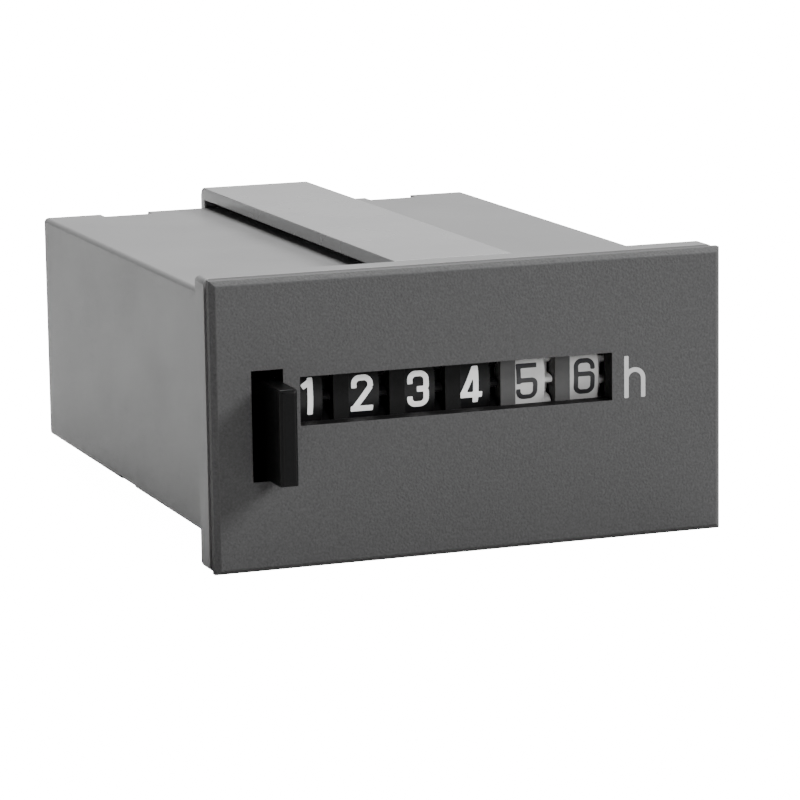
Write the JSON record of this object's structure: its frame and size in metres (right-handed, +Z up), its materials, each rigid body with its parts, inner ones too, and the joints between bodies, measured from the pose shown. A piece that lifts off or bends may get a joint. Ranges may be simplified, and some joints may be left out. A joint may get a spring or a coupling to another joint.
{
  "type": "panel hour meter",
  "caption": "Rectangular panel-mount hour meter with number wheels behind a window, a reset lever beside it and a slide-on mounting clip.",
  "frame": {"origin": "centre of the panel plane, which is the back face of the bezel flange", "axes": "+Z up as the meter is read, +Y back into the panel, +X to the right as the front is read"},
  "size_m": [0.053, 0.0786, 0.0286],
  "materials": {
    "grey_plastic": "fine moulded, satin",
    "black_textured_plastic": "spark-textured, matt",
    "clip_plastic": "smooth moulded, satin",
    "lever_plastic": "smooth, satin",
    "black_wheel_plastic": "smooth, with white digits",
    "white_wheel_plastic": "smooth, with dark digits",
    "pinion_plastic": "natural acetal",
    "comb_plastic": "natural acetal",
    "carrier_plastic": "moulded acetal",
    "bobbin_plastic": "moulded nylon",
    "chip_plastic": "moulded epoxy",
    "capacitor_sleeve": "shrunk sleeve",
    "board_laminate": "solder mask",
    "tinned_brass": "tin plated, satin",
    "plated_steel": "zinc plated",
    "ground_steel": "ground",
    "spring_steel": "drawn wire",
    "screw_steel": "plated",
    "crystal_can": "drawn can",
    "turned_brass": "turned",
    "gear_brass": "stamped and cut",
    "copper_wire": "enamelled wire",
    "stator_iron": "annealed lamination",
    "magnet_ferrite": "bonded ferrite"
  },
  "bodies": {
    "root": {"housing": "grey_plastic", "front_cover": "black_textured_plastic", "rear_cover": "grey_plastic", "terminal_left": "tinned_brass", "terminal_right": "tinned_brass", "frame_plate_left": "plated_steel", "frame_plate_right": "plated_steel", "train_bridge": "plated_steel", "frame_pillars": "turned_brass", "frame_screws": "screw_steel", "wheel_shaft": "ground_steel", "carrier_stud": "ground_steel", "lever_pivot_pin": "ground_steel", "lever_spring": "spring_steel", "stator": "stator_iron", "stator_posts": "turned_brass", "coil_core": "stator_iron", "coil_bobbin": "bobbin_plastic", "coil_winding": "copper_wire", "coil_leads": "copper_wire", "circuit_board": "board_laminate", "quartz_crystal": "crystal_can", "driver_chip": "chip_plastic", "capacitor": "capacitor_sleeve"},
    "clip": {"mounting_clip": "clip_plastic"},
    "lever": {"reset_lever": "lever_plastic"},
    "comb": {"reset_comb": "comb_plastic", "comb_shaft": "ground_steel", "comb_crank": "plated_steel"},
    "bail": {"pinion_carrier": "carrier_plastic", "pinion_shaft": "ground_steel"},
    "output_arbor_body": {"output_arbor": "ground_steel", "output_gear": "gear_brass", "output_train_gear": "gear_brass"},
    "slow_arbor_body": {"slow_arbor": "ground_steel", "slow_train_gear": "gear_brass"},
    "fast_arbor_body": {"fast_arbor": "ground_steel", "fast_train_gear": "gear_brass"},
    "rotor": {"rotor_arbor": "ground_steel", "rotor_magnet": "magnet_ferrite"},
    "wheel_1": {"number_wheel_1": "black_wheel_plastic"},
    "wheel_2": {"number_wheel_2": "black_wheel_plastic"},
    "wheel_3": {"number_wheel_3": "black_wheel_plastic"},
    "wheel_4": {"number_wheel_4": "black_wheel_plastic"},
    "wheel_5": {"number_wheel_5": "white_wheel_plastic"},
    "wheel_6": {"number_wheel_6": "white_wheel_plastic"},
    "pinion_1": {"transfer_pinion_1": "pinion_plastic"},
    "pinion_2": {"transfer_pinion_2": "pinion_plastic"},
    "pinion_3": {"transfer_pinion_3": "pinion_plastic"},
    "pinion_4": {"transfer_pinion_4": "pinion_plastic"},
    "pinion_5": {"transfer_pinion_5": "pinion_plastic"}
  },
  "joints": [
    {"name": "clip_slide", "type": "slide", "parent": "root", "child": "clip", "axis": [0, 1, 0], "range_m": [0, 0.012]},
    {"name": "reset_press", "type": "hinge", "parent": "root", "child": "lever", "pos_m": [-0.02045, -0.0012, -0.0089], "axis": [-1, 0, 0], "range_deg": [0, 12], "stiffness_Nm_per_rad": 0.03, "springref_deg": -20.05, "deforming": ["lever_spring"]},
    {"name": "comb_turn", "type": "hinge", "parent": "root", "child": "comb", "pos_m": [0, 0.0149, 0.0086], "axis": [1, 0, 0], "range_deg": [0, 18]},
    {"name": "bail_swing", "type": "hinge", "parent": "root", "child": "bail", "pos_m": [0, 0.01879, -0.00081], "axis": [1, 0, 0], "range_deg": [0, 8.9]},
    {"name": "slow_arbor_spin", "type": "hinge", "parent": "root", "child": "slow_arbor_body", "pos_m": [0, 0.02691, 0.00136], "axis": [1, 0, 0], "continuous": true},
    {"name": "output_arbor_spin", "type": "hinge", "parent": "root", "child": "output_arbor_body", "pos_m": [0, 0.01879, -0.00081], "axis": [1, 0, 0], "continuous": true},
    {"name": "fast_arbor_spin", "type": "hinge", "parent": "root", "child": "fast_arbor_body", "pos_m": [0, 0.03502, -0.00081], "axis": [1, 0, 0], "continuous": true},
    {"name": "rotor_spin", "type": "hinge", "parent": "root", "child": "rotor", "pos_m": [0, 0.04314, 0.00136], "axis": [1, 0, 0], "continuous": true},
    {"name": "wheel_6_spin", "type": "hinge", "parent": "root", "child": "wheel_6", "pos_m": [0, 0.0051, 0.0021], "axis": [1, 0, 0], "continuous": true},
    {"name": "wheel_5_spin", "type": "hinge", "parent": "root", "child": "wheel_5", "pos_m": [0, 0.0051, 0.0021], "axis": [1, 0, 0], "continuous": true},
    {"name": "wheel_4_spin", "type": "hinge", "parent": "root", "child": "wheel_4", "pos_m": [0, 0.0051, 0.0021], "axis": [1, 0, 0], "continuous": true},
    {"name": "wheel_3_spin", "type": "hinge", "parent": "root", "child": "wheel_3", "pos_m": [0, 0.0051, 0.0021], "axis": [1, 0, 0], "continuous": true},
    {"name": "wheel_2_spin", "type": "hinge", "parent": "root", "child": "wheel_2", "pos_m": [0, 0.0051, 0.0021], "axis": [1, 0, 0], "continuous": true},
    {"name": "wheel_1_spin", "type": "hinge", "parent": "root", "child": "wheel_1", "pos_m": [0, 0.0051, 0.0021], "axis": [1, 0, 0], "continuous": true},
    {"name": "pinion_5_spin", "type": "hinge", "parent": "bail", "child": "pinion_5", "pos_m": [0, 0.01113, -0.00562], "axis": [1, 0, 0], "continuous": true},
    {"name": "pinion_4_spin", "type": "hinge", "parent": "bail", "child": "pinion_4", "pos_m": [0, 0.01113, -0.00562], "axis": [1, 0, 0], "continuous": true},
    {"name": "pinion_3_spin", "type": "hinge", "parent": "bail", "child": "pinion_3", "pos_m": [0, 0.01113, -0.00562], "axis": [1, 0, 0], "continuous": true},
    {"name": "pinion_2_spin", "type": "hinge", "parent": "bail", "child": "pinion_2", "pos_m": [0, 0.01113, -0.00562], "axis": [1, 0, 0], "continuous": true},
    {"name": "pinion_1_spin", "type": "hinge", "parent": "bail", "child": "pinion_1", "pos_m": [0, 0.01113, -0.00562], "axis": [1, 0, 0], "continuous": true}
  ],
  "couplings": [
    {"joint": "comb_turn", "follows": "reset_press", "ratio": 1.5},
    {"joint": "bail_swing", "follows": "reset_press", "ratio": 0.74167},
    {"joint": "output_arbor_spin", "follows": "slow_arbor_spin", "ratio": -0.16667},
    {"joint": "fast_arbor_spin", "follows": "slow_arbor_spin", "ratio": -6},
    {"joint": "rotor_spin", "follows": "slow_arbor_spin", "ratio": 36},
    {"joint": "wheel_6_spin", "follows": "slow_arbor_spin", "ratio": 0.16667},
    {"joint": "wheel_5_spin", "follows": "slow_arbor_spin", "ratio": 0.016667},
    {"joint": "wheel_4_spin", "follows": "slow_arbor_spin", "ratio": 0.0016667},
    {"joint": "wheel_3_spin", "follows": "slow_arbor_spin", "ratio": 0.00016667},
    {"joint": "wheel_2_spin", "follows": "slow_arbor_spin", "ratio": 0.000016667},
    {"joint": "wheel_1_spin", "follows": "slow_arbor_spin", "ratio": 0.0000016667},
    {"joint": "pinion_5_spin", "follows": "slow_arbor_spin", "ratio": -0.041667},
    {"joint": "pinion_4_spin", "follows": "slow_arbor_spin", "ratio": -0.0041667},
    {"joint": "pinion_3_spin", "follows": "slow_arbor_spin", "ratio": -0.00041667},
    {"joint": "pinion_2_spin", "follows": "slow_arbor_spin", "ratio": -0.000041667},
    {"joint": "pinion_1_spin", "follows": "slow_arbor_spin", "ratio": -0.0000041667}
  ]
}
